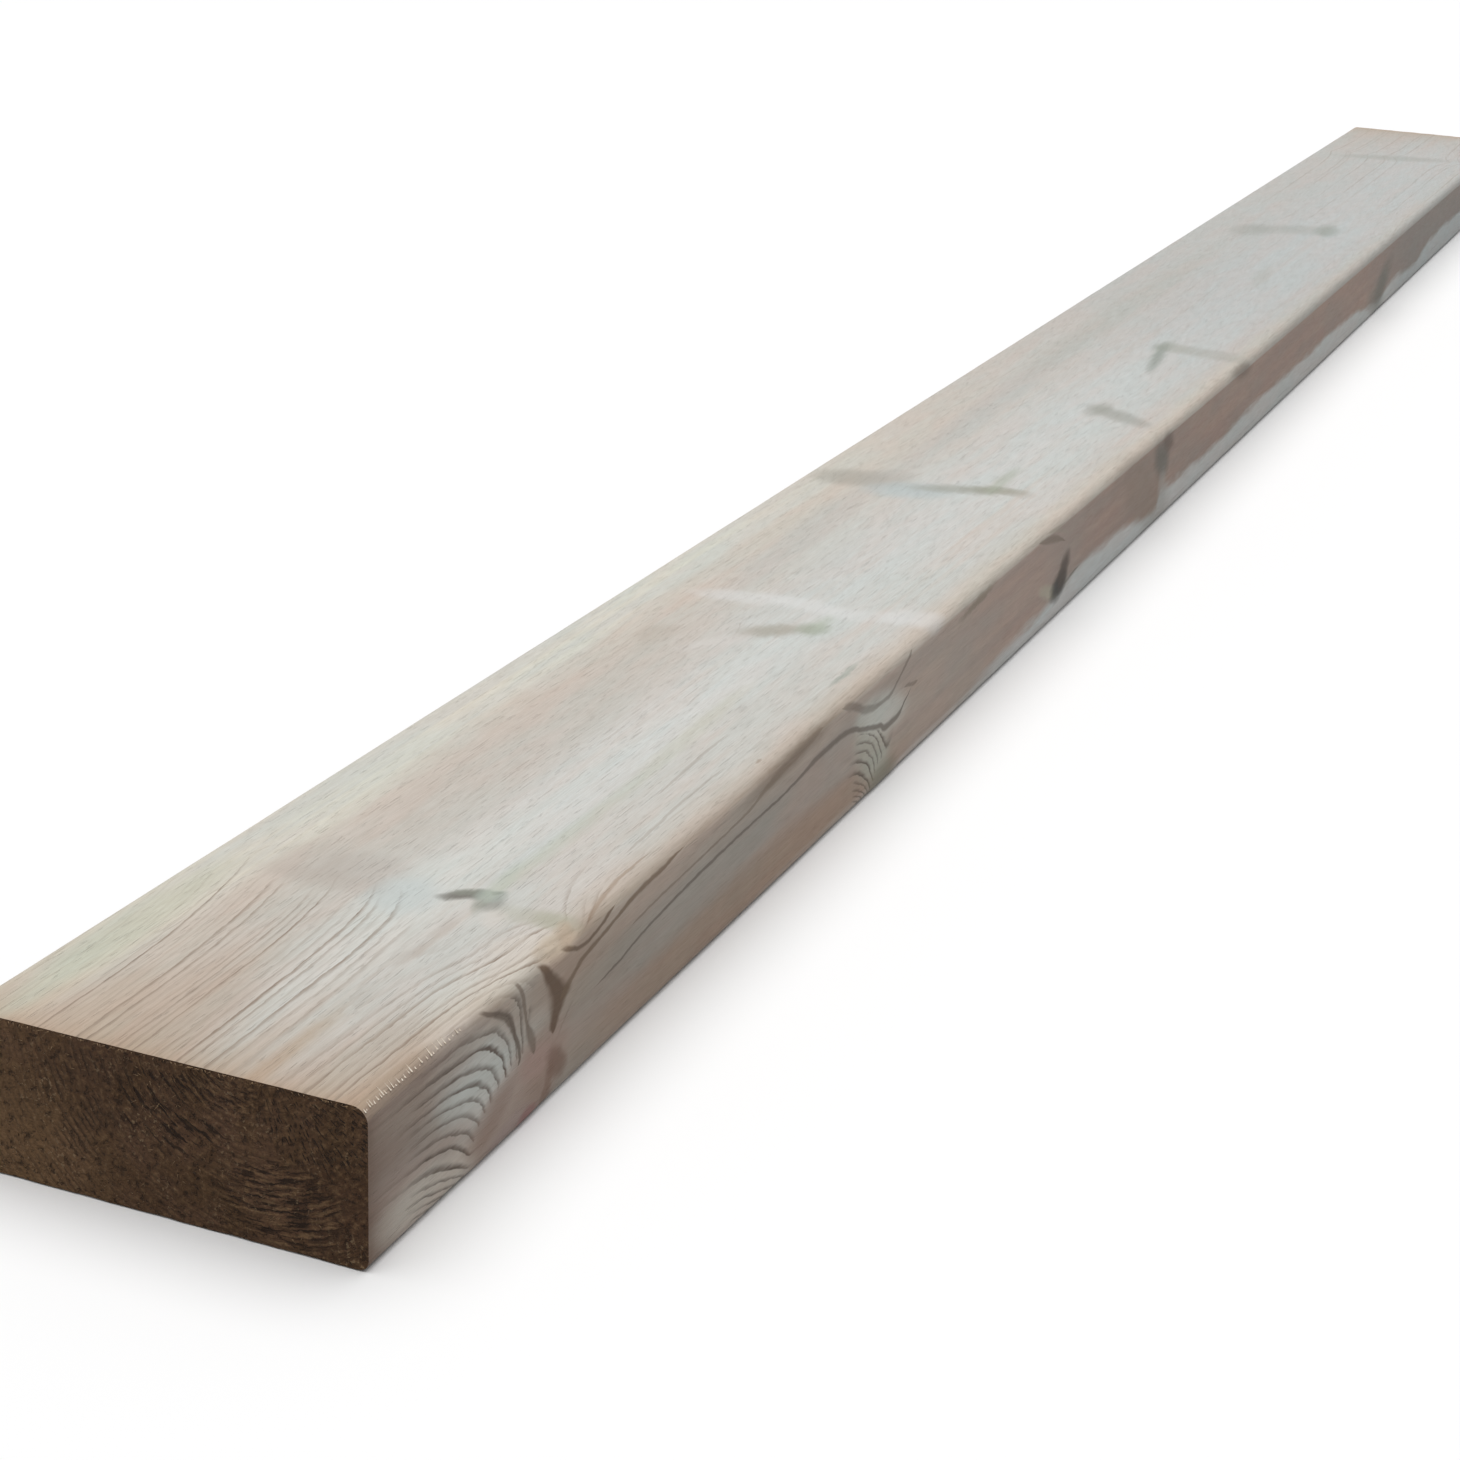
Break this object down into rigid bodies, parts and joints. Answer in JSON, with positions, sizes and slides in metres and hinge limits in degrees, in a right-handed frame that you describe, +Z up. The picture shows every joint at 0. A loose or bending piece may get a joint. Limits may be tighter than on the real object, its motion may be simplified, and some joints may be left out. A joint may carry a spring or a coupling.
{
  "type": "timber plank",
  "caption": "Long flat length of planed, pressure-treated softwood with eased long arrises and square sawn ends, for framing and decking.",
  "frame": {"origin": "middle of the underside, where the plank lies on the floor", "axes": "+X along the grain towards the far sawn end, +Y across the width, +Z up through the thickness"},
  "size_m": [1.8, 0.12, 0.045],
  "materials": {
    "treated_softwood": "planed and pressure treated, unsealed, matte, with green and grey tints"
  },
  "bodies": {
    "root": {"plank": "treated_softwood"}
  },
  "joints": []
}
